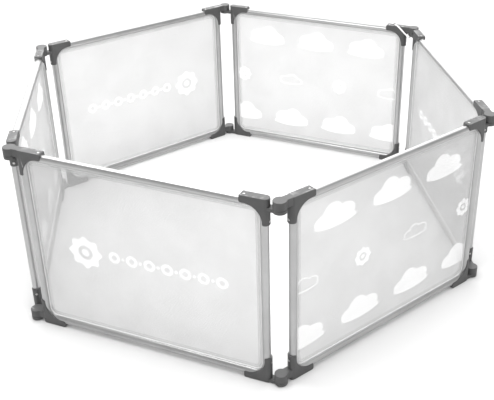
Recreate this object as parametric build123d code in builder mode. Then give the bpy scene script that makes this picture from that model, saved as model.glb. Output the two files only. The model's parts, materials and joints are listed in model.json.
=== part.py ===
"""Hexagonal playpen: six mesh panels in bent-tube frames, hinged to each other at the corners.

Row frame: millimetres, +Z up, origin on the floor at the centre of the hexagon. One panel is
modelled at the front, parallel to X, and every panel is a turned copy of it. A panel's right end
(+X) carries the lower lug of a hinge, its left end (-X) carries the upper lug.
"""
import os
from math import sqrt

from build123d import *

os.makedirs("parts", exist_ok=True)

# ---- driving dimensions -------------------------------------------------------------------
PANELS = ["front_left", "left", "back_left", "back_right", "right", "front_right"]
PITCH = 905.0  # hinge axis to hinge axis along one panel
HEIGHT = 665.0  # floor to the flat tops of the brackets

TUBE_DIAMETER = 26.0
TUBE_WALL = 1.5
BEND_RADIUS = 40.0  # centreline of the tube's corner bends
KEDER_SLOT = 3.0  # slot along the tube's inner side that holds the mesh's piping
KEDER_SLOT_CUT = 4.5  # depth of the cutter that opens it, across the wall

BEAD_RADIUS = 2.4
BEAD_GAP = 0.2  # between the bead and the tube's inner wall
LIP_SEAT = 0.08  # how far the lip beds on the tube's curve
WEB_THICKNESS = 2.2
LIP_WIDTH = 6.0
LIP_DEPTH = 3.0
MESH_THICKNESS = 2.0

HINGE_TO_BRACKET = 29.5  # hinge axis to the bracket's rounded end
BRACKET_SKIN = 8.5  # plastic above the top rail and below the bottom one
POST_SKIN = 4.5  # plastic outside the posts
BRACKET_THICKNESS = 30.0
ARM_LENGTH = 91.0  # along the rail
TOP_POST_ARM = 88.0  # bracket's flat top to the tip of its arm on the post
LOW_POST_ARM = 95.0  # floor to the tip of the bottom bracket's arm
ARM_OVERLAP = 3.0  # how far the cheeks reach past the tube's centreline
CONCAVE_RADIUS = 57.0
TIP_RADIUS = 6.0
RIM_RADIUS = 2.0
WAIST_RADIUS = 6.0

KNUCKLE_RADIUS = 21.0
KNUCKLE_HEIGHT = 39.0
LOWER_LUG_HEIGHT = 12.0
LUG_CLEARANCE = 0.4
NECK_WIDTH = 26.0
BOTTOM_DISC_HEIGHT = 41.0  # floor to the top of the bottom knuckles

PIN_RADIUS = 4.0
PIN_CLEARANCE = 0.08
PIN_ENGAGEMENT = 18.0  # length held in the upper lug
PIN_HEAD_RADIUS = 6.5
PIN_HEAD_HEIGHT = 3.0
HEAD_CLEARANCE = 0.6
PIN_LIFT = 0.2  # head above the lug's lower face
PIN_END_GAP = 0.5  # pin's tip to the bottom of its hole

SCREW_RADIUS = 2.0
SCREW_LENGTH = 14.0
SCREW_HEAD_RADIUS = 4.4
SCREW_HEAD_HEIGHT = 2.0
SCREW_RECESS = 2.2
SCREW_RECESS_CLEARANCE = 0.3
SCREW_FROM_TIP = 12.0
LOW_SCREW_FROM_TIP = 21.0  # on the vertical arms of the bottom brackets

STRAP_WIDTH = 7.0
STRAP_THICKNESS = 1.6
STRAP_GAP = 0.4
STRAP_INNER_TOP = 66.0  # hinge axis to the strap, over the inner edge of the arm
STRAP_OUTER_TOP = 95.0  # the same over the outer edge
STRAP_UNDER = 15.0  # the same under the knuckle
STRAP_DROP = 46.0  # bracket top to the strap's run under the knuckle
RIVET_RADIUS = 2.0
RIVET_HEAD_RADIUS = 5.0
RIVET_HEAD_HEIGHT = 2.6
RIVET_DEPTH = 6.0
RIVET_SHIFT = 9.0  # from the panel's mid plane, outwards

# ---- worked out from them -----------------------------------------------------------------
APOTHEM = PITCH * sqrt(3) / 2
HALF_PITCH = PITCH / 2
TUBE_RADIUS = TUBE_DIAMETER / 2
RAIL_INSET = BRACKET_SKIN + TUBE_RADIUS  # bracket's flat face to the rail's centreline
POST_INSET = POST_SKIN + TUBE_RADIUS  # bracket's rounded end to the post's centreline
POST_X = HALF_PITCH - HINGE_TO_BRACKET - POST_INSET
LOW_RAIL_Z = RAIL_INSET
HIGH_RAIL_Z = HEIGHT - RAIL_INSET
BRACKET_HALF = BRACKET_THICKNESS / 2
UPPER_LUG_HEIGHT = KNUCKLE_HEIGHT - LOWER_LUG_HEIGHT - LUG_CLEARANCE
PANEL_PLANE = Plane.XZ.offset(APOTHEM)  # local x is X, local y is Z, normal points outwards


def turn_of(index):
    """Turn about Z that takes the modelled panel to its place in the ring."""
    return -(30 + 60 * index)


# ---- frame tube, mesh and piping ----------------------------------------------------------
BEND_X = POST_X - BEND_RADIUS
LOW_BEND_Z = LOW_RAIL_Z + BEND_RADIUS
HIGH_BEND_Z = HIGH_RAIL_Z - BEND_RADIUS
with BuildLine(PANEL_PLANE) as tube_path:
    Line((0, LOW_RAIL_Z), (BEND_X, LOW_RAIL_Z))
    CenterArc((BEND_X, LOW_BEND_Z), BEND_RADIUS, -90, 90)
    Line((POST_X, LOW_BEND_Z), (POST_X, HIGH_BEND_Z))
    CenterArc((BEND_X, HIGH_BEND_Z), BEND_RADIUS, 0, 90)
    Line((BEND_X, HIGH_RAIL_Z), (-BEND_X, HIGH_RAIL_Z))
    CenterArc((-BEND_X, HIGH_BEND_Z), BEND_RADIUS, 90, 90)
    Line((-POST_X, HIGH_BEND_Z), (-POST_X, LOW_BEND_Z))
    CenterArc((-BEND_X, LOW_BEND_Z), BEND_RADIUS, 180, 90)
    Line((-BEND_X, LOW_RAIL_Z), (0, LOW_RAIL_Z))

# section of whatever follows the tube: local x across the panel, local y towards the mesh
SECTION = Plane(origin=(0, -APOTHEM, LOW_RAIL_Z), x_dir=(0, 1, 0), z_dir=(1, 0, 0))

# one place for each screw: outer face, axis pointing out of the bracket
SCREW_PLACES = []
for side in (1, -1):
    for face_z, outward in ((HEIGHT, 1), (0, -1)):
        rail_x = side * (HALF_PITCH - HINGE_TO_BRACKET - ARM_LENGTH + SCREW_FROM_TIP)
        SCREW_PLACES.append(Plane(origin=(rail_x, -APOTHEM, face_z), z_dir=(0, 0, outward)))
    end_x = side * (HALF_PITCH - HINGE_TO_BRACKET)
    for screw_z in (HEIGHT - TOP_POST_ARM + SCREW_FROM_TIP, LOW_POST_ARM - LOW_SCREW_FROM_TIP):
        SCREW_PLACES.append(Plane(origin=(end_x, -APOTHEM, screw_z), z_dir=(side, 0, 0)))

with BuildPart() as screw_holes:
    for place in SCREW_PLACES:
        with BuildSketch(place):
            Circle(SCREW_RADIUS)
        extrude(amount=-(SCREW_LENGTH + SCREW_RECESS))
        with BuildSketch(place):
            Circle(SCREW_HEAD_RADIUS + SCREW_RECESS_CLEARANCE)
        extrude(amount=-SCREW_RECESS)

with BuildPart() as frame_tube:
    with BuildSketch(SECTION):
        Circle(TUBE_RADIUS)
        Circle(TUBE_RADIUS - TUBE_WALL, mode=Mode.SUBTRACT)
        with Locations((0, TUBE_RADIUS)):
            Rectangle(KEDER_SLOT, KEDER_SLOT_CUT, mode=Mode.SUBTRACT)
    sweep(path=tube_path.wire())
    add(screw_holes.part, mode=Mode.SUBTRACT)

with BuildPart() as tube_space:
    with BuildSketch(SECTION):
        Circle(TUBE_RADIUS)
    sweep(path=tube_path.wire())

with BuildPart() as mesh_edging:
    with BuildSketch(SECTION):
        with Locations((0, TUBE_RADIUS - TUBE_WALL - BEAD_RADIUS - BEAD_GAP)):
            Circle(BEAD_RADIUS)
        with Locations((0, TUBE_RADIUS - TUBE_WALL)):
            Rectangle(WEB_THICKNESS, 2 * BEAD_RADIUS)
        with Locations((0, TUBE_RADIUS - LIP_SEAT)):
            Rectangle(LIP_WIDTH, LIP_DEPTH + LIP_SEAT, align=(Align.CENTER, Align.MIN))
    sweep(path=tube_path.wire())

MESH_INSET = TUBE_RADIUS + LIP_DEPTH
with BuildPart() as mesh_panel:
    with BuildSketch(PANEL_PLANE):
        with Locations((0, HEIGHT / 2)):
            RectangleRounded(
                2 * (POST_X - MESH_INSET),
                HIGH_RAIL_Z - LOW_RAIL_Z - 2 * MESH_INSET,
                BEND_RADIUS - MESH_INSET,
            )
    extrude(amount=MESH_THICKNESS / 2, both=True)


# ---- corner brackets with their hinge lugs ------------------------------------------------
def corner_bracket(side, level, has_upper_lug):
    """Corner bracket at the +X (side 1) or -X (side -1) end, at the top (level 1) or bottom."""

    def at(from_hinge, from_face):
        """Local X and Z of a point, measured from the hinge axis and the outer flat face."""
        x = side * (HALF_PITCH - from_hinge)
        z = HEIGHT - from_face if level > 0 else from_face
        return (x, z)

    tip = HINGE_TO_BRACKET + ARM_LENGTH
    inner = RAIL_INSET + ARM_OVERLAP
    post_arm = TOP_POST_ARM if level > 0 else LOW_POST_ARM
    arm_edge = HINGE_TO_BRACKET + POST_INSET + ARM_OVERLAP
    round_centre = HINGE_TO_BRACKET + BRACKET_HALF
    disc_z = HEIGHT if level > 0 else BOTTOM_DISC_HEIGHT
    lug_z = disc_z - UPPER_LUG_HEIGHT if has_upper_lug else disc_z - KNUCKLE_HEIGHT
    lug_height = UPPER_LUG_HEIGHT if has_upper_lug else LOWER_LUG_HEIGHT
    hinge = (side * HALF_PITCH, -APOTHEM)

    with BuildPart() as lug:
        with BuildSketch(Plane.XY.offset(lug_z)) as lug_outline:
            with Locations(hinge):
                Circle(KNUCKLE_RADIUS)
            with Locations((side * (HALF_PITCH - round_centre / 2), -APOTHEM)):
                Rectangle(round_centre, NECK_WIDTH)
            waist = lug_outline.vertices().sort_by_distance(hinge)[:2]
            fillet(waist, radius=WAIST_RADIUS)
        extrude(amount=lug_height)
        flats = lug.faces().filter_by(Axis.Z).edges()
        fillet(flats.filter_by(Axis.Y, reverse=True), radius=RIM_RADIUS)

    with BuildPart() as bracket:
        # L-shaped outline with one large concave corner
        with BuildSketch(PANEL_PLANE) as outline:
            with BuildLine():
                Polyline(
                    at(HINGE_TO_BRACKET, 0),
                    at(tip, 0),
                    at(tip, inner),
                    at(arm_edge, inner),
                    at(arm_edge, post_arm),
                    at(HINGE_TO_BRACKET, post_arm),
                    close=True,
                )
            make_face()
            for point in (at(tip, 0), at(tip, inner), at(arm_edge, post_arm)):
                fillet(outline.vertices().sort_by_distance(point)[0], radius=TIP_RADIUS)
            concave = outline.vertices().sort_by_distance(at(arm_edge, inner))[0]
            fillet(concave, radius=CONCAVE_RADIUS)
        extrude(amount=BRACKET_HALF, both=True)
        # half-round in plan at the hinge end
        with BuildSketch(Plane.XY):
            with Locations((side * (HALF_PITCH - round_centre), -APOTHEM)):
                Circle(BRACKET_HALF)
            with Locations((side * (HALF_PITCH - (round_centre + tip) / 2), -APOTHEM)):
                Rectangle(tip - round_centre, BRACKET_THICKNESS)
        extrude(amount=HEIGHT, mode=Mode.INTERSECT)
        # soft rim round both sides; the long upright edges are where the half-round starts
        sides = bracket.faces().filter_by(Axis.Y).edges()
        rims = [edge for edge in sides if edge.length < ARM_LENGTH * 0.9]
        fillet(rims, radius=RIM_RADIUS)
        add(lug.part)
        # tube, screws and pin
        add(tube_space.part, mode=Mode.SUBTRACT)
        add(screw_holes.part, mode=Mode.SUBTRACT)
        with BuildSketch(Plane.XY.offset(lug_z)):
            with Locations(hinge):
                Circle(PIN_RADIUS if has_upper_lug else PIN_RADIUS + PIN_CLEARANCE)
        extrude(amount=PIN_ENGAGEMENT if has_upper_lug else LOWER_LUG_HEIGHT, mode=Mode.SUBTRACT)
        if not has_upper_lug:
            with BuildSketch(Plane.XY.offset(lug_z)):
                with Locations(hinge):
                    Circle(PIN_HEAD_RADIUS + PIN_CLEARANCE)
            extrude(amount=PIN_HEAD_HEIGHT + HEAD_CLEARANCE, mode=Mode.SUBTRACT)
    return bracket


top_eye = corner_bracket(1, 1, False)
bottom_eye = corner_bracket(1, -1, False)
top_knuckle = corner_bracket(-1, 1, True)
bottom_knuckle = corner_bracket(-1, -1, True)

# ---- fasteners ----------------------------------------------------------------------------
with BuildPart() as bracket_screws:
    for place in SCREW_PLACES:
        with BuildSketch(place.offset(-SCREW_RECESS)):
            Circle(SCREW_RADIUS)
        extrude(amount=-SCREW_LENGTH)
        with BuildSketch(place.offset(-SCREW_RECESS)):
            Circle(SCREW_HEAD_RADIUS)
        extrude(amount=SCREW_HEAD_HEIGHT)

with BuildPart() as hinge_pins:
    for disc_z in (HEIGHT, BOTTOM_DISC_HEIGHT):
        foot_z = disc_z - KNUCKLE_HEIGHT + PIN_LIFT
        shank = LOWER_LUG_HEIGHT + LUG_CLEARANCE + PIN_ENGAGEMENT - PIN_END_GAP
        with BuildSketch(Plane.XY.offset(foot_z)):
            with Locations((-HALF_PITCH, -APOTHEM)):
                Circle(PIN_HEAD_RADIUS)
        extrude(amount=PIN_HEAD_HEIGHT)
        with BuildSketch(Plane.XY.offset(foot_z)):
            with Locations((-HALF_PITCH, -APOTHEM)):
                Circle(PIN_RADIUS)
        extrude(amount=shank)

# ---- closing strap on the back right panel ------------------------------------------------
STRAP_TOP_Z = HEIGHT + STRAP_GAP + STRAP_THICKNESS
STRAP_LOW_Z = HEIGHT - STRAP_DROP
SIDE_OFFSET = BRACKET_HALF + STRAP_GAP  # strap's inner face, from the panel's mid plane
EDGE = SIDE_OFFSET + STRAP_THICKNESS


def from_hinge(distance):
    """X of a point that far from the left-hand hinge axis."""
    return distance - HALF_PITCH


def band_corners(low, high, span):
    """Corners of a straight band: its ends' middles and its extent along X."""
    half = span / 2
    return [(low[0] - half, low[1]), (low[0] + half, low[1]),
            (high[0] + half, high[1]), (high[0] - half, high[1])]


with BuildPart() as closing_strap:
    strap_rise = STRAP_TOP_Z - (STRAP_LOW_Z - STRAP_THICKNESS)
    for outward, top_distance in ((-1, STRAP_INNER_TOP), (1, STRAP_OUTER_TOP)):
        run = top_distance - STRAP_UNDER
        span = STRAP_WIDTH * sqrt(run**2 + strap_rise**2) / strap_rise
        low_end = (from_hinge(STRAP_UNDER), STRAP_LOW_Z - STRAP_THICKNESS)
        high_end = (from_hinge(top_distance), STRAP_TOP_Z)
        with BuildSketch(PANEL_PLANE.offset(outward * SIDE_OFFSET)):
            with BuildLine():
                Polyline(*band_corners(low_end, high_end, span), close=True)
            make_face()
        extrude(amount=outward * STRAP_THICKNESS)
    # over the arm, from the inner edge to the outer one
    lean = STRAP_OUTER_TOP - STRAP_INNER_TOP
    span = STRAP_WIDTH * sqrt(lean**2 + (2 * EDGE) ** 2) / (2 * EDGE)
    inner_end = (from_hinge(STRAP_INNER_TOP), -APOTHEM + EDGE)
    outer_end = (from_hinge(STRAP_OUTER_TOP), -APOTHEM - EDGE)
    with BuildSketch(Plane.XY.offset(HEIGHT + STRAP_GAP)):
        with BuildLine():
            Polyline(*band_corners(inner_end, outer_end, span), close=True)
        make_face()
    extrude(amount=STRAP_THICKNESS)
    # under the knuckle
    with BuildSketch(Plane.XY.offset(STRAP_LOW_Z)):
        with Locations((from_hinge(STRAP_UNDER), -APOTHEM)):
            Rectangle(STRAP_WIDTH, 2 * EDGE)
    extrude(amount=-STRAP_THICKNESS)

rivet_x = from_hinge(
    (STRAP_INNER_TOP + STRAP_OUTER_TOP) / 2
    + (STRAP_OUTER_TOP - STRAP_INNER_TOP) * RIVET_SHIFT / (2 * EDGE)
)
with BuildPart() as strap_rivet:
    with BuildSketch(Plane.XY.offset(HEIGHT - RIVET_DEPTH)):
        with Locations((rivet_x, -APOTHEM - RIVET_SHIFT)):
            Circle(RIVET_RADIUS)
    extrude(amount=RIVET_DEPTH + STRAP_GAP + STRAP_THICKNESS + RIVET_HEAD_HEIGHT)
    with BuildSketch(Plane.XY.offset(STRAP_TOP_Z)):
        with Locations((rivet_x, -APOTHEM - RIVET_SHIFT)):
            Circle(RIVET_HEAD_RADIUS)
    extrude(amount=RIVET_HEAD_HEIGHT)
    fillet(strap_rivet.faces().sort_by(Axis.Z)[-1].edges(), radius=RIVET_HEAD_HEIGHT / 2)

# ---- copies round the ring ----------------------------------------------------------------
PANEL_PIECES = {
    "frame_tube": frame_tube,
    "mesh_panel": mesh_panel,
    "mesh_edging": mesh_edging,
    "top_eye_bracket": top_eye,
    "bottom_eye_bracket": bottom_eye,
    "top_knuckle_bracket": top_knuckle,
    "bottom_knuckle_bracket": bottom_knuckle,
    "bracket_screws": bracket_screws,
    "hinge_pins": hinge_pins,
}
STRAP_PANEL = PANELS.index("back_right")

for index, panel in enumerate(PANELS):
    for name, master in PANEL_PIECES.items():
        with BuildPart() as piece:
            add(master.part, rotation=(0, 0, turn_of(index)))
            if index == STRAP_PANEL and name == "top_knuckle_bracket":
                add(strap_rivet.part, rotation=(0, 0, turn_of(index)), mode=Mode.SUBTRACT)
        piece.part.label = f"{panel}_{name}"
        export_step(piece.part, f"parts/{panel}_{name}.step")

for name, master in {"closing_strap": closing_strap, "strap_rivet": strap_rivet}.items():
    with BuildPart() as piece:
        add(master.part, rotation=(0, 0, turn_of(STRAP_PANEL)))
        if name == "closing_strap":
            add(strap_rivet.part, rotation=(0, 0, turn_of(STRAP_PANEL)), mode=Mode.SUBTRACT)
    piece.part.label = name
    export_step(piece.part, f"parts/{name}.step")
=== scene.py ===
import json
from math import cos, pi, radians, sin, sqrt

import bmesh
import bpy
from mathutils import Matrix, Vector


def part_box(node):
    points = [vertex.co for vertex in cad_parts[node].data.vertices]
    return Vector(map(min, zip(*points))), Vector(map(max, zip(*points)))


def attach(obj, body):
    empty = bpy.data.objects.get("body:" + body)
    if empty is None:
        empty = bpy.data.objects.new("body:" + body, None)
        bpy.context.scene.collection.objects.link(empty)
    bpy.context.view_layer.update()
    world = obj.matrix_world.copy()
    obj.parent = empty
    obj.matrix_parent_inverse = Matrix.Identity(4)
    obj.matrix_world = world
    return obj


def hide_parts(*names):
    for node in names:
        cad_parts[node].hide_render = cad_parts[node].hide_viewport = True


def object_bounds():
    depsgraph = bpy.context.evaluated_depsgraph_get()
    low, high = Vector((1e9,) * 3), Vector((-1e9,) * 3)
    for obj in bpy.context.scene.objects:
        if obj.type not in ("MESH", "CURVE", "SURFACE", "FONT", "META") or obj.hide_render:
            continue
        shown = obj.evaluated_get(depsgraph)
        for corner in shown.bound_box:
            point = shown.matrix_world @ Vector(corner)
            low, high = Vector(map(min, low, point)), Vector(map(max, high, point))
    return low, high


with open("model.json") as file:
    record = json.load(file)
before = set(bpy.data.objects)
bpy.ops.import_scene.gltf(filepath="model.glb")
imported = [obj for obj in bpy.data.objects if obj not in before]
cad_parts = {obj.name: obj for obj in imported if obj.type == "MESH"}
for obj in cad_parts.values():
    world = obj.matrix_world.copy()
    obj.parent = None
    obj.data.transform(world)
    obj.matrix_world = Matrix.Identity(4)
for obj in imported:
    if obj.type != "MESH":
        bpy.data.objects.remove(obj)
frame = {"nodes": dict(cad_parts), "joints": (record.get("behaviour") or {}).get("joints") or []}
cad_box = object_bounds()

scene = bpy.context.scene
scene.view_settings.view_transform = "Standard"

# ---- sizes, in metres ---------------------------------------------------------------------
PANELS = ("front_left", "left", "back_left", "back_right", "right", "front_right")
HINGES = {joint["name"]: Vector(joint["pos_m"]) for joint in frame["joints"]}
PITCH = abs(HINGES["front_corner_hinge"].y)
APOTHEM = PITCH * sqrt(3) / 2
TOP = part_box("left_top_eye_bracket")[1].z

# the left panel faces X, so its box gives the cloth's own width and height
cloth_low, cloth_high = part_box("left_mesh_panel")
HALF_WIDE = (cloth_high.y - cloth_low.y) / 2
HALF_TALL = (cloth_high.z - cloth_low.z) / 2
CLOTH_MIDDLE = (cloth_high.z + cloth_low.z) / 2
CLOTH_CORNER = 0.024
CLOTH_THICKNESS = 0.00035
SELVEDGE = 0.013  # the doubled edge of the cloth
SLACK = 0.0006  # the cloth's broad waves, out of its plane
STITCH_INSET = 0.0085
STITCH_SPACING = 0.005
STITCH_LENGTH = 0.0036
SEAM_THREAD_RADIUS = 0.00032

NET_PITCH = 0.0024
NET_HOLE = 0.345  # hole's radius, as a share of the pitch
INK_COVER, SELVEDGE_COVER = 0.3, 0.35  # how far each closes the holes
YARN_OPACITY = 0.97

SCREW_LENGTH = 0.014
SCREW_TIP = 0.012
LOW_SCREW_TIP = 0.021
RAIL_ARM = 0.091
TOP_POST_ARM, LOW_POST_ARM = 0.088, 0.095
BRACKET_END = 0.0295  # hinge axis to the bracket
HEAD_RADIUS = 0.0044
HEAD_HEIGHT = 0.002
SCREW_RECESS = 0.0022
SHANK_RADIUS = 0.0019
CROSS_WIDTH, CROSS_DEPTH = 0.0011, 0.0012

STRAP_WIDTH = 0.007
STRAP_THICKNESS = 0.0014
STRAP_SIDE = 0.0154  # the strap's inner face, from the panel's middle
STRAP_ABOVE = 0.0004
STRAP_DROP = 0.046
STRAP_LOW, STRAP_INNER, STRAP_OUTER = 0.015, 0.066, 0.095  # hinge axis to each corner
STRAP_BELLY = 0.0005  # how far its two long runs bow out
TACK_COUNT, TACK_START, TACK_STEP = 15, 0.30, 0.022  # zigzag, as shares of the outer run
TACK_REACH = 0.0039
TACK_SPACING, TACK_LENGTH, TACK_THREAD_RADIUS = 0.0018, 0.0019, 0.00022


def turned(index):
    """Takes the front of the ring to the place of that panel."""
    return Matrix.Rotation(-radians(30 + 60 * index), 4, "Z")


# ---- node helpers -------------------------------------------------------------------------
def put(tree, socket, value):
    if isinstance(value, bpy.types.NodeSocket):
        tree.links.new(value, socket)
    elif value is not None:
        socket.default_value = value


def node(tree, kind, *given, named=None, **settings):
    made = tree.nodes.new(kind)
    for name, value in settings.items():
        setattr(made, name, value)
    for socket, value in zip(made.inputs, given):
        put(tree, socket, value)
    for name, value in (named or {}).items():
        put(tree, made.inputs[name], value)
    return made


def maths(tree, operation, *given):
    return node(tree, "ShaderNodeMath", *given, operation=operation).outputs[0]


def vectors(tree, operation, *given, result="Vector"):
    made = node(tree, "ShaderNodeVectorMath", operation=operation)
    for socket, value in zip(made.inputs, given):
        put(tree, socket, value)
    return made.outputs[result]


def smooth(tree, value, start, end, low=0.0, high=1.0):
    """Eases from low to high as the value goes from start to end."""
    return node(tree, "ShaderNodeMapRange", value, start, end, low, high,
                interpolation_type="SMOOTHSTEP").outputs[0]


def blended(tree, share, first, second):
    made = node(tree, "ShaderNodeMix", data_type="RGBA")
    put(tree, made.inputs[0], share)
    put(tree, made.inputs[6], first)
    put(tree, made.inputs[7], second)
    return made.outputs[2]


def highest(tree, masks):
    total = masks[0]
    for mask in masks[1:]:
        total = maths(tree, "MAXIMUM", total, mask)
    return total


def group(name, takes, gives):
    """A shader group with its sockets, and its input and output nodes."""
    tree = bpy.data.node_groups.new(name, "ShaderNodeTree")
    for socket, kind, value in takes:
        made = tree.interface.new_socket(name=socket, in_out="INPUT", socket_type=kind)
        if value is not None:
            made.default_value = value
    for socket, kind in gives:
        tree.interface.new_socket(name=socket, in_out="OUTPUT", socket_type=kind)
    return tree, tree.nodes.new("NodeGroupInput").outputs, tree.nodes.new("NodeGroupOutput").inputs


def placed(tree, effect, **values):
    """One use of a group, with its inputs by name."""
    made = tree.nodes.new("ShaderNodeGroup")
    made.node_tree = effect
    for name, value in values.items():
        put(tree, made.inputs[name.replace("_", " ")], value)
    return made.outputs


FLOAT, VECTOR = "NodeSocketFloat", "NodeSocketVector"


def tint(level, warm=0.0):
    """A near-neutral colour."""
    return (level * (1 + warm), level, level * (1 - warm), 1.0)


# ---- shader groups ------------------------------------------------------------------------
def spot_group():
    """An oval stamp with a soft rim."""
    tree, given, out = group("oval spot", [
        ("Place", VECTOR, None), ("Centre", VECTOR, None), ("Radii", VECTOR, (1, 1, 1)),
        ("Softness", FLOAT, 0.03)], [("Mask", FLOAT)])
    offset = vectors(tree, "DIVIDE", vectors(tree, "SUBTRACT", given["Place"], given["Centre"]),
                     given["Radii"])
    far = vectors(tree, "LENGTH", offset, result="Value")
    inner = maths(tree, "SUBTRACT", 1.0, given["Softness"])
    outer = maths(tree, "ADD", 1.0, given["Softness"])
    put(tree, out["Mask"], smooth(tree, far, inner, outer, 1.0, 0.0))
    return tree


def net_group():
    """Round holes in staggered rows; the thread between them is 1."""
    tree, given, out = group("knitted net", [
        ("Place", VECTOR, None), ("Pitch", FLOAT, 0.0024), ("Hole", FLOAT, 0.3)],
        [("Thread", FLOAT), ("Round", FLOAT)])
    rows = vectors(tree, "SCALE", given["Place"])
    put(tree, rows.node.inputs["Scale"], maths(tree, "DIVIDE", 1.0, given["Pitch"]))
    rows = vectors(tree, "MULTIPLY", rows, (1, 1 / sqrt(3), 0))
    reach = []
    for shift in ((0.0, 0.0, 0.0), (0.5, 0.5, 0.0)):
        cell = vectors(tree, "FRACTION", vectors(tree, "ADD", rows, shift))
        cell = vectors(tree, "MULTIPLY", vectors(tree, "SUBTRACT", cell, (0.5, 0.5, 0.0)),
                       (1, sqrt(3), 0))
        reach.append(vectors(tree, "LENGTH", cell, result="Value"))
    near = maths(tree, "MINIMUM", *reach)
    low = maths(tree, "SUBTRACT", given["Hole"], 0.05)
    high = maths(tree, "ADD", given["Hole"], 0.05)
    put(tree, out["Thread"], smooth(tree, near, low, high))
    put(tree, out["Round"], smooth(tree, near, low, 0.58))
    return tree


def repeat_group():
    """Repeats a pattern on a slanted grid: gives the place within a cell."""
    tree, given, out = group("slanted repeat", [
        ("Place", VECTOR, None), ("Start", VECTOR, None), ("Across", VECTOR, (1, 0, 0)),
        ("Down", VECTOR, (0, 1, 0))], [("Local", VECTOR)])

    def up(first, second):
        crossed = vectors(tree, "CROSS_PRODUCT", first, second)
        return node(tree, "ShaderNodeSeparateXYZ", crossed).outputs[2]

    place = vectors(tree, "SUBTRACT", given["Place"], given["Start"])
    whole = up(given["Across"], given["Down"])
    parts = []
    for first, second in ((place, given["Down"]), (given["Across"], place)):
        share = maths(tree, "DIVIDE", up(first, second), whole)
        parts.append(maths(tree, "SUBTRACT", share, maths(tree, "ROUND", share)))
    across = vectors(tree, "SCALE", given["Across"])
    put(tree, across.node.inputs["Scale"], parts[0])
    down = vectors(tree, "SCALE", given["Down"])
    put(tree, down.node.inputs["Scale"], parts[1])
    put(tree, out["Local"], vectors(tree, "ADD", across, down))
    return tree


def grain_group():
    """Fine grain and slow drift of tone, for moulded and metal surfaces."""
    tree, given, out = group("surface grain", [
        ("Place", VECTOR, None), ("Grain Scale", FLOAT, 900.0), ("Drift Scale", FLOAT, 6.0)],
        [("Grain", FLOAT), ("Drift", FLOAT)])
    fine = node(tree, "ShaderNodeTexNoise", given["Place"], named={
        "Scale": given["Grain Scale"], "Detail": 3.0, "Roughness": 0.6})
    slow = node(tree, "ShaderNodeTexNoise", given["Place"], named={
        "Scale": given["Drift Scale"], "Detail": 4.0, "Roughness": 0.55})
    put(tree, out["Grain"], fine.outputs[0])
    put(tree, out["Drift"], slow.outputs[0])
    return tree


def wear_and_rim_highlight_group():
    """Rubbed edges, also used as a painted rim highlight: 1 on sharp outer edges, broken up by
    noise.
    """
    tree, given, out = group("edge wear and painted highlight", [
        ("Place", VECTOR, None), ("Start", FLOAT, 0.52), ("End", FLOAT, 0.6)],
        [("Worn", FLOAT)])
    # sharp outer edges get a mask that lightens them: partly rubbed wear, partly a painted rim
    # highlight
    edge = smooth(tree, node(tree, "ShaderNodeNewGeometry").outputs["Pointiness"],
                  given["Start"], given["End"])
    patches = node(tree, "ShaderNodeTexNoise", given["Place"], named={
        "Scale": 60.0, "Detail": 5.0, "Roughness": 0.6}).outputs[0]
    put(tree, out["Worn"], maths(tree, "MULTIPLY", edge, smooth(tree, patches, 0.42, 0.62)))
    return tree


SPOT, NET, REPEAT, GRAIN, WEAR_AND_RIM_HIGHLIGHT = (
    spot_group(), net_group(), repeat_group(), grain_group(), wear_and_rim_highlight_group())


# ---- materials ----------------------------------------------------------------------------
GLOSS_DRIFT = 0.1  # slow change in a metal's roughness from place to place


def material(name, **sockets):
    """A new material: its tree, its Principled shader and its object coordinates."""
    made = bpy.data.materials.new(name)
    made.use_nodes = True
    tree = made.node_tree
    shader = tree.nodes["Principled BSDF"]
    for socket, value in sockets.items():
        shader.inputs[socket.replace("_", " ")].default_value = value
    return made, tree, shader.inputs, node(tree, "ShaderNodeTexCoord").outputs["Object"]


def bumped(tree, shader, height, distance, strength=1.0):
    bump = node(tree, "ShaderNodeBump", named={
        "Height": height, "Distance": distance, "Strength": strength})
    put(tree, shader["Normal"], bump.outputs[0])


def metal(name, level, rough, warm=0.0):
    """Satin metal: a blasted grain, with slight drift in tone and gloss."""
    made, tree, shader, place = material(name, Metallic=1.0)
    grain, drift = placed(tree, GRAIN, Place=place, Grain_Scale=1400.0, Drift_Scale=9.0)
    put(tree, shader["Base Color"], blended(
        tree, smooth(tree, drift, 0.3, 0.7), tint(level * 0.93, warm), tint(level * 1.05, warm)))
    gloss = maths(tree, "MULTIPLY_ADD", drift, GLOSS_DRIFT, rough - GLOSS_DRIFT / 2)
    put(tree, shader["Roughness"], maths(tree, "MULTIPLY_ADD", grain, 0.08, gloss))
    bumped(tree, shader, grain, 0.00004, 0.6)
    return made


def moulding(name, level, rough, grain_scale=1100.0, edge_wear_and_highlight_level=0.2, depth=0.00008):
    """Moulded plastic: spark-eroded grain, faint flow marks, and rubbed edges whose lighter colour
    is partly a painted rim highlight.
    """
    made, tree, shader, place = material(name, Specular_IOR_Level=0.5)
    grain, drift = placed(tree, GRAIN, Place=place, Grain_Scale=grain_scale, Drift_Scale=22.0)
    worn_and_highlit, = placed(tree, WEAR_AND_RIM_HIGHLIGHT, Place=place)
    base = blended(tree, smooth(tree, drift, 0.3, 0.7), tint(level * 0.88), tint(level * 1.1))
    base = blended(tree, maths(tree, "MULTIPLY", grain, 0.3), base, tint(level * 1.3))
    # sharp edges take a lighter colour: partly rubbed wear, partly a painted rim highlight
    put(tree, shader["Base Color"], blended(tree, worn_and_highlit, base, tint(edge_wear_and_highlight_level)))
    rubbed = maths(tree, "MULTIPLY_ADD", worn_and_highlit, -0.12, rough)
    put(tree, shader["Roughness"], maths(tree, "MULTIPLY_ADD", grain, 0.12, rubbed))
    bumped(tree, shader, grain, depth, 0.7)
    return made


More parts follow.
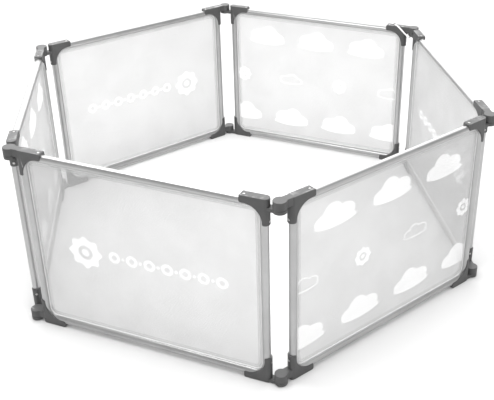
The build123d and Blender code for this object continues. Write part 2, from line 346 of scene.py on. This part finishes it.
def threads(name, level):
    """Twisted sewing thread."""
    made, tree, shader, place = material(name, Sheen_Weight=0.25, Sheen_Roughness=0.4)
    twist = node(tree, "ShaderNodeTexWave", place, named={
        "Scale": 900.0, "Distortion": 2.0}, bands_direction="DIAGONAL").outputs["Fac"]
    put(tree, shader["Base Color"], blended(tree, twist, tint(level * 0.82), tint(level)))
    put(tree, shader["Roughness"], maths(tree, "MULTIPLY_ADD", twist, 0.1, 0.62))
    bumped(tree, shader, twist, 0.00008)
    return made


def webbing(name, level):
    """Woven tape: warp ribs along it and weft bars across, with smooth selvedges."""
    made, tree, shader, _ = material(name, Sheen_Weight=0.3, Sheen_Roughness=0.45)
    along = node(tree, "ShaderNodeUVMap", uv_map="strap").outputs[0]
    split = node(tree, "ShaderNodeSeparateXYZ", along).outputs
    warp = maths(tree, "SINE", maths(tree, "MULTIPLY", split[1], 2 * pi / 0.0009))
    weft = maths(tree, "SINE", maths(tree, "MULTIPLY", split[0], 2 * pi / 0.0012))
    weave = maths(tree, "MULTIPLY_ADD", maths(tree, "MULTIPLY", warp, weft), 0.5, 0.5)
    soil = node(tree, "ShaderNodeTexNoise", along, named={"Scale": 90.0, "Detail": 4.0}).outputs[0]
    base = blended(tree, weave, tint(level * 0.8), tint(level, 0.004))
    put(tree, shader["Base Color"], blended(
        tree, smooth(tree, soil, 0.45, 0.8, 0.0, 0.18), base, tint(level * 0.78, 0.02)))
    put(tree, shader["Roughness"], maths(tree, "MULTIPLY_ADD", weave, -0.12, 0.78))
    bumped(tree, shader, weave, 0.00025)
    return made


# plain shapes of the print, as ovals (across, up, half width, half height)
BIG_CLOUD = ((-0.050, -0.006, 0.036, 0.026), (-0.012, 0.014, 0.040, 0.038),
             (0.036, 0.004, 0.042, 0.030), (0.000, -0.020, 0.086, 0.018))
CLOUD = ((-0.031, -0.002, 0.022, 0.013), (-0.006, 0.008, 0.022, 0.020),
         (0.026, 0.002, 0.026, 0.017), (0.000, -0.012, 0.054, 0.009))
CLOUD_LINE = 0.0022
PRINT_STEP = 0.24  # from one big cloud to the next in its row
PRINT_DROP = 0.20  # from each row to the one below it
PRINT_FLOWER = 0.036
GARLAND_FLOWER, GARLAND_FLOWER_PLACE = 0.062, (-0.219, -0.006, 0.0)
GARLAND_START, GARLAND_RINGS, RING_STEP = -0.112, 7, 0.0625


def ovals(tree, place, shapes, wider=0.0, softness=0.05):
    """The union of some ovals, each made wider all round by that much."""
    return highest(tree, [placed(
        tree, SPOT, Place=place, Centre=(x, y, 0.0), Radii=(half + wider, tall + wider, 1.0),
        Softness=softness)["Mask"] for x, y, half, tall in shapes])


def rosette(tree, place, radius):
    """A plain round flower of eight petals with a ring cut out of it."""
    split = node(tree, "ShaderNodeSeparateXYZ", place).outputs
    angle = maths(tree, "MULTIPLY", maths(tree, "ARCTAN2", split[1], split[0]), 8.0)
    petal = maths(tree, "MULTIPLY_ADD", maths(tree, "COSINE", angle), radius * 0.09, radius * 0.9)
    share = maths(tree, "DIVIDE", vectors(tree, "LENGTH", place, result="Value"), petal)
    disc = smooth(tree, share, 0.97, 1.03, 1.0, 0.0)
    hub = ovals(tree, place, [(0, 0, radius * 0.22, radius * 0.22)])
    ring = ovals(tree, place, [(0, 0, radius * 0.42, radius * 0.42)])
    cut = maths(tree, "SUBTRACT", ring, hub)
    return maths(tree, "MULTIPLY", disc, maths(tree, "SUBTRACT", 1.0, cut))


def repeated(tree, place, start, across, down):
    return placed(tree, REPEAT, Place=place, Start=(*start, 0.0), Across=(*across, 0.0),
                  Down=(*down, 0.0))["Local"]


def clouds(tree, place):
    """A cloud's outline: its shape drawn wide, less its shape drawn narrow."""
    return maths(tree, "SUBTRACT", ovals(tree, place, CLOUD, CLOUD_LINE),
                 ovals(tree, place, CLOUD, -CLOUD_LINE))


def cloud_print(tree, place):
    """Straight half-drop rows: big clouds, then small outline clouds and flowers by turns."""
    half = PRINT_STEP / 2
    fewer, next_pair = (2 * PRINT_STEP, 0.0), (PRINT_STEP, -2 * PRINT_DROP)
    return highest(tree, [
        ovals(tree, repeated(tree, place, (0.0, PRINT_DROP), (PRINT_STEP, 0.0),
                             (half, -2 * PRINT_DROP)), BIG_CLOUD),
        clouds(tree, repeated(tree, place, (half, 0.0), fewer, next_pair)),
        rosette(tree, repeated(tree, place, (-half, 0.0), fewer, next_pair), PRINT_FLOWER)])


def garland_print(tree, place):
    """One large flower and a row of rings and dots beside it."""
    centred = vectors(tree, "SUBTRACT", place, GARLAND_FLOWER_PLACE)
    flower = rosette(tree, centred, GARLAND_FLOWER)
    steps = [GARLAND_START + RING_STEP * k for k in range(GARLAND_RINGS)]
    rings = ovals(tree, place, [(x, 0.0, 0.021, 0.021) for x in steps])
    holes = ovals(tree, place, [(x, 0.0, 0.010, 0.010) for x in steps])
    dots = ovals(tree, place, [(x + RING_STEP / 2, 0.0, 0.006, 0.006) for x in steps[:-1]])
    rings = maths(tree, "SUBTRACT", rings, holes)
    return highest(tree, [flower, rings, dots])


def net_cloth(name, printed):
    """Fine knitted net with a doubled edge and a print in thick white ink."""
    made, tree, shader, _ = material(name, Sheen_Weight=0.2, Sheen_Roughness=0.5)
    place = node(tree, "ShaderNodeUVMap", uv_map="cloth").outputs[0]
    ink = printed(tree, place)
    split = node(tree, "ShaderNodeSeparateXYZ", place).outputs
    # distance in from the edge, with the rounded corners
    sides = [maths(tree, "SUBTRACT", maths(tree, "ABSOLUTE", value), half - CLOTH_CORNER)
             for value, half in ((split[0], HALF_WIDE), (split[1], HALF_TALL))]
    past = node(tree, "ShaderNodeCombineXYZ", *[maths(tree, "MAXIMUM", s, 0.0) for s in sides])
    out = vectors(tree, "LENGTH", past.outputs[0], result="Value")
    inside = maths(tree, "MINIMUM", maths(tree, "MAXIMUM", *sides), 0.0)
    depth = maths(tree, "SUBTRACT", CLOTH_CORNER, maths(tree, "ADD", out, inside))
    edge = smooth(tree, depth, SELVEDGE - 0.0004, SELVEDGE, 1.0, 0.0)
    net = placed(tree, NET, Place=place, Pitch=NET_PITCH, Hole=NET_HOLE)
    closed = highest(tree, [net["Thread"], maths(tree, "MULTIPLY", ink, INK_COVER),
                            maths(tree, "MULTIPLY", edge, SELVEDGE_COVER)])
    put(tree, shader["Alpha"], maths(tree, "MULTIPLY", closed, YARN_OPACITY))
    drift = node(tree, "ShaderNodeTexNoise", place, named={
        "Scale": 7.0, "Detail": 3.0, "Roughness": 0.5}).outputs[0]
    yarn = blended(tree, smooth(tree, drift, 0.3, 0.7), tint(0.50), tint(0.56))
    yarn = blended(tree, maths(tree, "MULTIPLY", edge, 0.5), yarn, tint(0.56))
    put(tree, shader["Base Color"], blended(tree, ink, yarn, tint(0.87)))
    put(tree, shader["Roughness"], maths(tree, "MULTIPLY_ADD", ink, -0.2, 0.75))
    raised = maths(tree, "MULTIPLY_ADD", ink, 0.4, net["Round"])
    bumped(tree, shader, raised, 0.00022, 0.8)
    return made


TUBE_METAL = metal("anodised tube", 0.43, 0.27)
SCREW_METAL = metal("zinc plated screw", 0.62, 0.24, warm=0.01)
PIN_METAL = metal("turned hinge pin", 0.5, 0.3)
# the dark brackets get much lighter edges: partly wear, partly a painted rim highlight
BRACKET_PLASTIC = moulding("bracket plastic", 0.055, 0.42)
EDGING_PLASTIC = moulding("edging plastic", 0.62, 0.5, 700.0, 0.64, 0.00005)
RIVET_PLASTIC = moulding("rivet plastic", 0.16, 0.35)
SEWING_THREAD = threads("sewing thread", 0.8)
STRAP_WEBBING = webbing("strap webbing", 0.86)
CLOTHS = [net_cloth("net with garland", garland_print), net_cloth("net with clouds", cloud_print)]


def finish_with(obj, made):
    obj.data.materials.clear()
    obj.data.materials.append(made)


for name, obj in frame["nodes"].items():
    for ending, made in (("frame_tube", TUBE_METAL), ("bracket", BRACKET_PLASTIC),
                         ("mesh_edging", EDGING_PLASTIC), ("hinge_pins", PIN_METAL),
                         ("strap_rivet", RIVET_PLASTIC)):
        if name.endswith(ending):
            finish_with(obj, made)


# ---- meshes -------------------------------------------------------------------------------
def linked(name, mesh):
    obj = bpy.data.objects.new(name, mesh)
    scene.collection.objects.link(obj)
    return obj


def made_of(name, form, index=None):
    """A smooth object from a bmesh, turned to its panel's place."""
    mesh = bpy.data.meshes.new(name)
    form.to_mesh(mesh)
    form.free()
    if index is not None:
        mesh.transform(turned(index))
    mesh.shade_smooth()
    return linked(name, mesh)


def half_width(z):
    """Half the cloth's width at that height from its middle."""
    into = max(0.0, abs(z) - (HALF_TALL - CLOTH_CORNER))
    return HALF_WIDE - CLOTH_CORNER + sqrt(max(0.0, CLOTH_CORNER**2 - into**2))


def ease(value, start, end):
    share = min(1.0, max(0.0, (value - start) / (end - start)))
    return share * share * (3 - 2 * share)


def slack(x, z, seed):
    """How far the stretched cloth stands out of its plane: nothing at the edge, a breath inside."""
    edge = min(HALF_WIDE - abs(x), HALF_TALL - abs(z))
    hold = ease(edge, 0.012, 0.09)
    broad = SLACK * sin(5.1 * x + 3.7 * z + seed) + SLACK / 2 * sin(13 * x - 9 * z + 2 * seed)
    corner = Vector((HALF_WIDE - abs(x), HALF_TALL - abs(z)))
    fan = sin(9 * corner.angle_signed(Vector((1, 1)), 0.0))
    pull = SLACK / 2 * fan * ease(0.25 - corner.length, 0, 0.2)
    return hold * (broad + pull)


def cloth_rows():
    """Heights of the rows: close together in the rounded corners."""
    straight = HALF_TALL - CLOTH_CORNER
    arc = [straight + CLOTH_CORNER * sin(radians(90) * k / 9) for k in range(1, 10)]
    middle = [-straight + 2 * straight * k / 48 for k in range(49)]
    return [-z for z in reversed(arc)] + middle + arc


def cloth_panel(index, panel):
    form = bmesh.new()
    uv = form.loops.layers.uv.new("cloth")
    columns = 72
    rows, places = [], {}
    for z in cloth_rows():
        row = []
        for k in range(columns + 1):
            x = half_width(z) * (2 * k / columns - 1)
            corner = form.verts.new((x, -APOTHEM + slack(x, z, 1.7 * index), CLOTH_MIDDLE + z))
            places[corner] = (x, z)
            row.append(corner)
        rows.append(row)
    for low, high in zip(rows, rows[1:]):
        for k in range(columns):
            face = form.faces.new((low[k], low[k + 1], high[k + 1], high[k]))
            for loop in face.loops:
                loop[uv].uv = places[loop.vert]
    piece = made_of(f"{panel}_net", form, index)
    finish_with(piece, CLOTHS[index % 2])
    wall = piece.modifiers.new("thickness", "SOLIDIFY")
    wall.thickness = CLOTH_THICKNESS
    wall.offset = 0.0
    return piece


# ---- geometry nodes -----------------------------------------------------------------------
def growth(name, takes):
    """A Geometry Nodes tree with its named inputs."""
    tree = bpy.data.node_groups.new(name, "GeometryNodeTree")
    tree.is_modifier = True
    geometry = "NodeSocketGeometry"
    tree.interface.new_socket(name="Geometry", in_out="INPUT", socket_type=geometry)
    for socket, kind in takes:
        tree.interface.new_socket(name=socket, in_out="INPUT", socket_type=kind)
    tree.interface.new_socket(name="Geometry", in_out="OUTPUT", socket_type=geometry)
    return tree, tree.nodes.new("NodeGroupInput").outputs


def ended(tree, instances, finish):
    """Realize Instances and Set Material, into the tree's output."""
    real = node(tree, "GeometryNodeRealizeInstances", instances).outputs[0]
    painted = node(tree, "GeometryNodeSetMaterial", real, named={"Material": finish}).outputs[0]
    put(tree, tree.nodes.new("NodeGroupOutput").inputs[0], painted)


def stitch_tree():
    """Short rounded stitches, end to end along the edges of a mesh."""
    tree, given = growth("row of stitches", [
        ("Spacing", FLOAT), ("Stitch Length", FLOAT), ("Thread Radius", FLOAT),
        ("Material", "NodeSocketMaterial")])
    path = node(tree, "GeometryNodeMeshToCurve", given["Geometry"]).outputs[0]
    path = node(tree, "GeometryNodeResampleCurve", path, mode="LENGTH", named={
        "Length": given["Spacing"]}).outputs[0]
    along = node(tree, "GeometryNodeInputTangent").outputs[0]
    turn = node(tree, "FunctionNodeAlignRotationToVector", axis="Z", named={"Vector": along})
    stitch = node(tree, "GeometryNodeMeshUVSphere", named={
        "Segments": 6, "Rings": 5, "Radius": 1.0}).outputs[0]
    half = maths(tree, "MULTIPLY", given["Stitch Length"], 0.5)
    size = node(tree, "ShaderNodeCombineXYZ", given["Thread Radius"], given["Thread Radius"], half)
    stitch = node(tree, "GeometryNodeTransform", stitch, named={"Scale": size.outputs[0]}).outputs[0]
    stitch = node(tree, "GeometryNodeSetShadeSmooth", stitch).outputs[0]
    many = node(tree, "GeometryNodeInstanceOnPoints", path, named={
        "Instance": stitch, "Rotation": turn.outputs[0]}).outputs[0]
    ended(tree, many, given["Material"])
    return tree


def screw_tree():
    """Pan head screws with a cross recess, standing on points along their aim."""
    tree, given = growth("pan head screws", [
        ("Head Radius", FLOAT), ("Head Height", FLOAT), ("Shank Radius", FLOAT),
        ("Shank Length", FLOAT), ("Recess Width", FLOAT), ("Recess Depth", FLOAT),
        ("Material", "NodeSocketMaterial")])

    def block(*size):
        across = node(tree, "ShaderNodeCombineXYZ", *size).outputs[0]
        return node(tree, "GeometryNodeMeshCube", across).outputs[0]

    head = node(tree, "GeometryNodeMeshCylinder", named={
        "Vertices": 40, "Side Segments": 3, "Fill Segments": 6, "Radius": given["Head Radius"],
        "Depth": given["Head Height"]}).outputs[0]
    # the upper half is domed: its rim drops and draws in a little
    place = node(tree, "GeometryNodeInputPosition").outputs[0]
    flat = vectors(tree, "MULTIPLY", place, (1, 1, 0))
    share = maths(tree, "DIVIDE", vectors(tree, "LENGTH", flat, result="Value"),
                  given["Head Radius"])
    height = maths(tree, "DIVIDE", node(tree, "ShaderNodeSeparateXYZ", place).outputs[2],
                   given["Head Height"])
    upper = maths(tree, "MAXIMUM", height, 0.0)
    drop = maths(tree, "MULTIPLY", maths(tree, "MULTIPLY", upper, maths(tree, "POWER", share, 4.0)),
                 maths(tree, "MULTIPLY", given["Head Height"], -0.7))
    shrink = maths(tree, "MULTIPLY", upper, maths(tree, "MULTIPLY", share, -0.22))
    inward = vectors(tree, "SCALE", flat)
    put(tree, inward.node.inputs["Scale"], shrink)
    lowered = node(tree, "ShaderNodeCombineXYZ", 0.0, 0.0, drop).outputs[0]
    head = node(tree, "GeometryNodeSetPosition", head, named={
        "Offset": vectors(tree, "ADD", inward, lowered)}).outputs[0]
    up = node(tree, "ShaderNodeCombineXYZ", 0.0, 0.0,
              maths(tree, "MULTIPLY", given["Head Height"], 0.5)).outputs[0]
    head = node(tree, "GeometryNodeTransform", head, named={"Translation": up}).outputs[0]
    # cross recess
    long = maths(tree, "MULTIPLY", given["Head Radius"], 1.15)
    deep = maths(tree, "MULTIPLY", given["Recess Depth"], 2.0)
    sink = node(tree, "ShaderNodeCombineXYZ", 0.0, 0.0, given["Head Height"]).outputs[0]
    for size in ((long, given["Recess Width"], deep), (given["Recess Width"], long, deep)):
        bar = node(tree, "GeometryNodeTransform", block(*size), named={"Translation": sink})
        cut = node(tree, "GeometryNodeMeshBoolean", operation="DIFFERENCE", solver="EXACT")
        put(tree, cut.inputs["Mesh 1"], head)
        put(tree, cut.inputs["Mesh 2"], bar.outputs[0])
        head = cut.outputs[0]
    shank = node(tree, "GeometryNodeMeshCylinder", named={
        "Vertices": 20, "Radius": given["Shank Radius"], "Depth": given["Shank Length"]}).outputs[0]
    down = node(tree, "ShaderNodeCombineXYZ", 0.0, 0.0,
                maths(tree, "MULTIPLY", given["Shank Length"], -0.499)).outputs[0]
    shank = node(tree, "GeometryNodeTransform", shank, named={"Translation": down}).outputs[0]
    whole = node(tree, "GeometryNodeMeshBoolean", operation="UNION", solver="EXACT")
    for part in (head, shank):
        put(tree, whole.inputs["Mesh 2"], part)
    screw = node(tree, "GeometryNodeSetShadeSmooth", whole.outputs[0]).outputs[0]
    bend = node(tree, "GeometryNodeInputMeshEdgeAngle").outputs[0]
    sharp = node(tree, "FunctionNodeCompare", bend, 0.6, operation="GREATER_THAN").outputs[0]
    screw = node(tree, "GeometryNodeSetShadeSmooth", screw, domain="EDGE", named={
        "Selection": sharp, "Shade Smooth": False}).outputs[0]
    aim = node(tree, "GeometryNodeInputNamedAttribute", "aim", data_type="FLOAT_VECTOR").outputs[0]
    turn = node(tree, "FunctionNodeAlignRotationToVector", axis="Z", named={"Vector": aim})
    many = node(tree, "GeometryNodeInstanceOnPoints", given["Geometry"], named={
        "Instance": screw, "Rotation": turn.outputs[0]}).outputs[0]
    ended(tree, many, given["Material"])
    return tree


def grown(name, seed, tree, **values):
    """The tree's result on the seed mesh, as one plain mesh object."""
    host = linked(name + "_seed", seed)
    step = host.modifiers.new("growth", "NODES")
    step.node_group = tree
    for item in tree.interface.items_tree:
        key = item.name.replace(" ", "_")
        if item.item_type == "SOCKET" and item.in_out == "INPUT" and key in values:
            step[item.identifier] = values[key]
    graph = bpy.context.evaluated_depsgraph_get()
    mesh = bpy.data.meshes.new_from_object(host.evaluated_get(graph), depsgraph=graph)
    bpy.data.objects.remove(host)
    mesh.name = name
    return linked(name, mesh)


STITCHES, SCREWS = stitch_tree(), screw_tree()


def stitch_path(index):
    """A closed line just inside the cloth's edge, on both of its faces."""
    radius = CLOTH_CORNER - STITCH_INSET
    wide, tall = HALF_WIDE - STITCH_INSET - radius, HALF_TALL - STITCH_INSET - radius
    line = []
    for quarter, (x, z) in enumerate(((wide, tall), (-wide, tall), (-wide, -tall), (wide, -tall))):
        for k in range(9):
            angle = radians(90 * quarter + 90 * k / 8)
            line.append((x + radius * cos(angle), CLOTH_MIDDLE + z + radius * sin(angle)))
    points, edges = [], []
    for face in (-1, 1):
        first = len(points)
        points += [(x, -APOTHEM + face * CLOTH_THICKNESS * 0.6, z) for x, z in line]
        edges += [(first + k, first + (k + 1) % len(line)) for k in range(len(line))]
    mesh = bpy.data.meshes.new("stitch path")
    mesh.from_pydata(points, edges, [])
    mesh.transform(turned(index))
    return mesh


def screw_points(index):
    """Where each screw's head sits in its recess, and which way it faces."""
    spots = []
    for side in (-1, 1):
        end = side * (PITCH / 2 - BRACKET_END)
        rail = side * (PITCH / 2 - BRACKET_END - RAIL_ARM + SCREW_TIP)
        spots += [((rail, TOP - SCREW_RECESS), (0, 1)), ((rail, SCREW_RECESS), (0, -1))]
        for z in (TOP - TOP_POST_ARM + SCREW_TIP, LOW_POST_ARM - LOW_SCREW_TIP):
            spots.append(((end - side * SCREW_RECESS, z), (side, 0)))
    mesh = bpy.data.meshes.new("screw places")
    mesh.from_pydata([(x, -APOTHEM, z) for (x, z), _ in spots], [], [])
    mesh.transform(turned(index))
    aims = mesh.attributes.new("aim", "FLOAT_VECTOR", "POINT")
    for item, (_, (x, z)) in zip(aims.data, spots):
        item.vector = turned(index) @ Vector((x, 0, z))
    return mesh


for index, panel in enumerate(PANELS):
    net = cloth_panel(index, panel)
    seam = grown(f"{panel}_seam_stitches", stitch_path(index), STITCHES,
                 Spacing=STITCH_SPACING, Stitch_Length=STITCH_LENGTH,
                 Thread_Radius=SEAM_THREAD_RADIUS, Material=SEWING_THREAD)
    screws = grown(f"{panel}_pan_head_screws", screw_points(index), SCREWS,
                   Head_Radius=HEAD_RADIUS, Head_Height=HEAD_HEIGHT, Shank_Radius=SHANK_RADIUS,
                   Shank_Length=SCREW_LENGTH, Recess_Width=CROSS_WIDTH, Recess_Depth=CROSS_DEPTH,
                   Material=SCREW_METAL)
    for piece in (net, seam, screws):
        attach(piece, panel)
    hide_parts(f"{panel}_mesh_panel")
    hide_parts(f"{panel}_bracket_screws")


# ---- closing strap ------------------------------------------------------------------------
STRAP_INDEX = PANELS.index("back_right")
LOW_Z, HIGH_Z = TOP - STRAP_DROP, TOP + STRAP_ABOVE
CORNER_STEPS, RUN_STEPS = 6, 14


def strap_stations():
    """Round the loop: place of the inner face, outward direction and the band's spread along X."""
    depth, height = 2 * STRAP_SIDE, HIGH_Z - LOW_Z
    corners = (  # across, up, distance from the hinge, first outward direction
        (STRAP_SIDE, LOW_Z, STRAP_LOW, 270), (STRAP_SIDE, HIGH_Z, STRAP_INNER, 0),
        (-STRAP_SIDE, HIGH_Z, STRAP_OUTER, 90), (-STRAP_SIDE, LOW_Z, STRAP_LOW, 180))
    stations = []
    for k, (y, z, away, facing) in enumerate(corners):
        y_next, z_next, away_next, _ = corners[(k + 1) % 4]
        slope = (away_next - away) / (height if k % 2 == 0 else depth)
        spread = STRAP_WIDTH * sqrt(1 + slope**2)
        away_last = corners[k - 1][2]
        slope_last = (away - away_last) / (height if k % 2 else depth)
        spread_last = STRAP_WIDTH * sqrt(1 + slope_last**2)
        for step in range(CORNER_STEPS):
            share = step / CORNER_STEPS
            angle = radians(facing + 90 * share)
            stations.append((y, z, away, angle, spread_last + (spread - spread_last) * share, 0.0))
        for step in range(RUN_STEPS):
            share = step / RUN_STEPS
            belly = STRAP_BELLY * sin(pi * share) if k % 2 == 0 else 0.0
            stations.append((y + (y_next - y) * share, z + (z_next - z) * share,
                             away + (away_next - away) * share, radians(facing + 90), spread, belly))
    return stations


def closing_strap():
    """A loop of flat webbing with rounded selvedges."""
    form = bmesh.new()
    uv = form.loops.layers.uv.new("strap")
    section = []
    half = STRAP_THICKNESS / 2
    for end in (1, -1):
        for k in range(6):
            angle = radians(-90 + 36 * k)
            across = 0.5 - half / STRAP_WIDTH * (1 - cos(angle))
            section.append((end * across, half + end * half * sin(angle)))
    rings, run, last = [], 0.0, None
    for y, z, away, angle, spread, belly in strap_stations():
        outward = Vector((0, cos(angle), sin(angle)))
        middle = Vector((away - PITCH / 2, -APOTHEM + y, z)) + outward * (half + belly)
        run += (middle - last).length if last else 0.0
        last = middle
        ring = [(form.verts.new(middle + outward * (lift - half) + Vector((across * spread, 0, 0))),
                 across * STRAP_WIDTH) for across, lift in section]
        rings.append((run, ring))
    loop_length = run + (rings[0][1][0][0].co - rings[-1][1][0][0].co).length
    count = len(section)
    for k, (start, ring) in enumerate(rings):
        end, following = rings[(k + 1) % len(rings)]
        end = end if k + 1 < len(rings) else loop_length
        for j in range(count):
            near, far = ring[j], ring[(j + 1) % count]
            near_next, far_next = following[j], following[(j + 1) % count]
            face = form.faces.new((near[0], near_next[0], far_next[0], far[0]))
            for loop, place in zip(face.loops, ((start, near[1]), (end, near[1]),
                                                (end, far[1]), (start, far[1]))):
                loop[uv].uv = place
    bmesh.ops.recalc_face_normals(form, faces=form.faces)
    return made_of("closing_strap_webbing", form, STRAP_INDEX)


def strap_stitch_path():
    """A zigzag across the strap's outer run, where its two ends are sewn together."""
    points = []
    for k in range(TACK_COUNT):
        share = TACK_START + TACK_STEP * k
        away = STRAP_OUTER + (STRAP_LOW - STRAP_OUTER) * share
        across = TACK_REACH if k % 2 else -TACK_REACH
        belly = STRAP_BELLY * sin(pi * share)
        points.append((away - PITCH / 2 + across,
                       -APOTHEM - STRAP_SIDE - STRAP_THICKNESS - belly,
                       HIGH_Z + (LOW_Z - HIGH_Z) * share))
    mesh = bpy.data.meshes.new("strap stitch path")
    mesh.from_pydata(points, [(k, k + 1) for k in range(len(points) - 1)], [])
    mesh.transform(turned(STRAP_INDEX))
    return mesh


strap = closing_strap()
finish_with(strap, STRAP_WEBBING)
tack = grown("closing_strap_stitches", strap_stitch_path(), STITCHES, Spacing=TACK_SPACING,
             Stitch_Length=TACK_LENGTH, Thread_Radius=TACK_THREAD_RADIUS, Material=SEWING_THREAD)
for piece in (strap, tack):
    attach(piece, "back_right")
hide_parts("closing_strap")


# ---- floor, light and camera --------------------------------------------------------------
def pale_floor():
    form = bmesh.new()
    bmesh.ops.create_grid(form, x_segments=4, y_segments=4, size=40.0)
    floor = made_of("floor", form)
    floor.data.transform(Matrix.Translation((0, 0, cad_box[0][2] - 0.0003)))
    made, tree, shader, place = material("pale floor", Roughness=0.9, Specular_IOR_Level=0.1)
    drift = node(tree, "ShaderNodeTexNoise", place, named={"Scale": 0.6, "Detail": 2.0}).outputs[0]
    put(tree, shader["Base Color"], blended(tree, drift, tint(0.56), tint(0.57)))
    finish_with(floor, made)


def soft_light(name, place, aim, size, power):
    data = bpy.data.lights.new(name, "AREA")
    data.shape = "RECTANGLE"
    data.size, data.size_y = size
    data.energy = power
    lamp = bpy.data.objects.new(name, data)
    lamp.matrix_world = Matrix.Translation(place) @ (
        Vector(aim) - Vector(place)).to_track_quat("-Z", "Y").to_matrix().to_4x4()
    lamp.visible_camera = False
    scene.collection.objects.link(lamp)
    return lamp


def studio():
    world = bpy.data.worlds.new("studio")
    scene.world = world
    world.use_nodes = True
    tree = world.node_tree
    ground = tree.nodes["Background"]
    ground.inputs[0].default_value = (1, 1, 1, 1)
    around = node(tree, "ShaderNodeTexCoord").outputs["Generated"]
    up = node(tree, "ShaderNodeSeparateXYZ", around).outputs[2]
    behind = vectors(tree, "DOT_PRODUCT", around, (0.0, 0.8, 0.6), result="Value")
    ray = node(tree, "ShaderNodeLightPath").outputs
    level = smooth(tree, up, 0.0, 0.95, 0.55, 2.2)  # what lights the surfaces
    mirrored = smooth(tree, behind, 0.4, 0.95, 0.6, 2.8)  # what polished ones reflect
    for share, value in ((ray["Is Glossy Ray"], mirrored), (ray["Is Camera Ray"], 1.0)):
        choice = node(tree, "ShaderNodeMix", share, data_type="FLOAT")
        put(tree, choice.inputs[2], level)
        put(tree, choice.inputs[3], value)
        level = choice.outputs[0]
    put(tree, ground.inputs[1], level)
    overhead = soft_light("overhead softbox", (0, 0.2, 3.4), (0, 0, 0), (3.0, 3.0), 84)
    overhead.visible_glossy = False
    soft_light("inner fill", (-0.6, -0.5, 1.6), (0.6, 0.6, 0.3), (1.2, 0.6), 14)
    soft_light("left softbox", (-3.2, -2.2, 1.6), (0, -0.3, 0.3), (1.2, 2.0), 1.5)
    soft_light("right softbox", (3.2, -2.2, 1.6), (0, -0.3, 0.3), (1.2, 2.0), 5)


def camera():
    """Looks down on the pen from its front, a little to the left."""
    bearing, lean, roll = radians(9.58), radians(27.18), radians(0.30)
    ahead = Vector((sin(bearing) * cos(lean), cos(bearing) * cos(lean), -sin(lean)))
    right = ahead.cross(Vector((0, 0, 1))).normalized()
    up = right.cross(ahead)
    right, up = right * cos(roll) + up * sin(roll), up * cos(roll) - right * sin(roll)
    data = bpy.data.cameras.new("camera")
    data.sensor_width = 36.0
    data.lens = 60.03
    data.shift_x, data.shift_y = -0.1073, -0.1053
    obj = bpy.data.objects.new("camera", data)
    axes = Matrix((right, up, -ahead)).transposed().to_4x4()
    obj.matrix_world = Matrix.Translation((-0.2715, -2.8426, 1.8311)) @ axes
    scene.collection.objects.link(obj)
    scene.camera = obj


pale_floor()
studio()
camera()
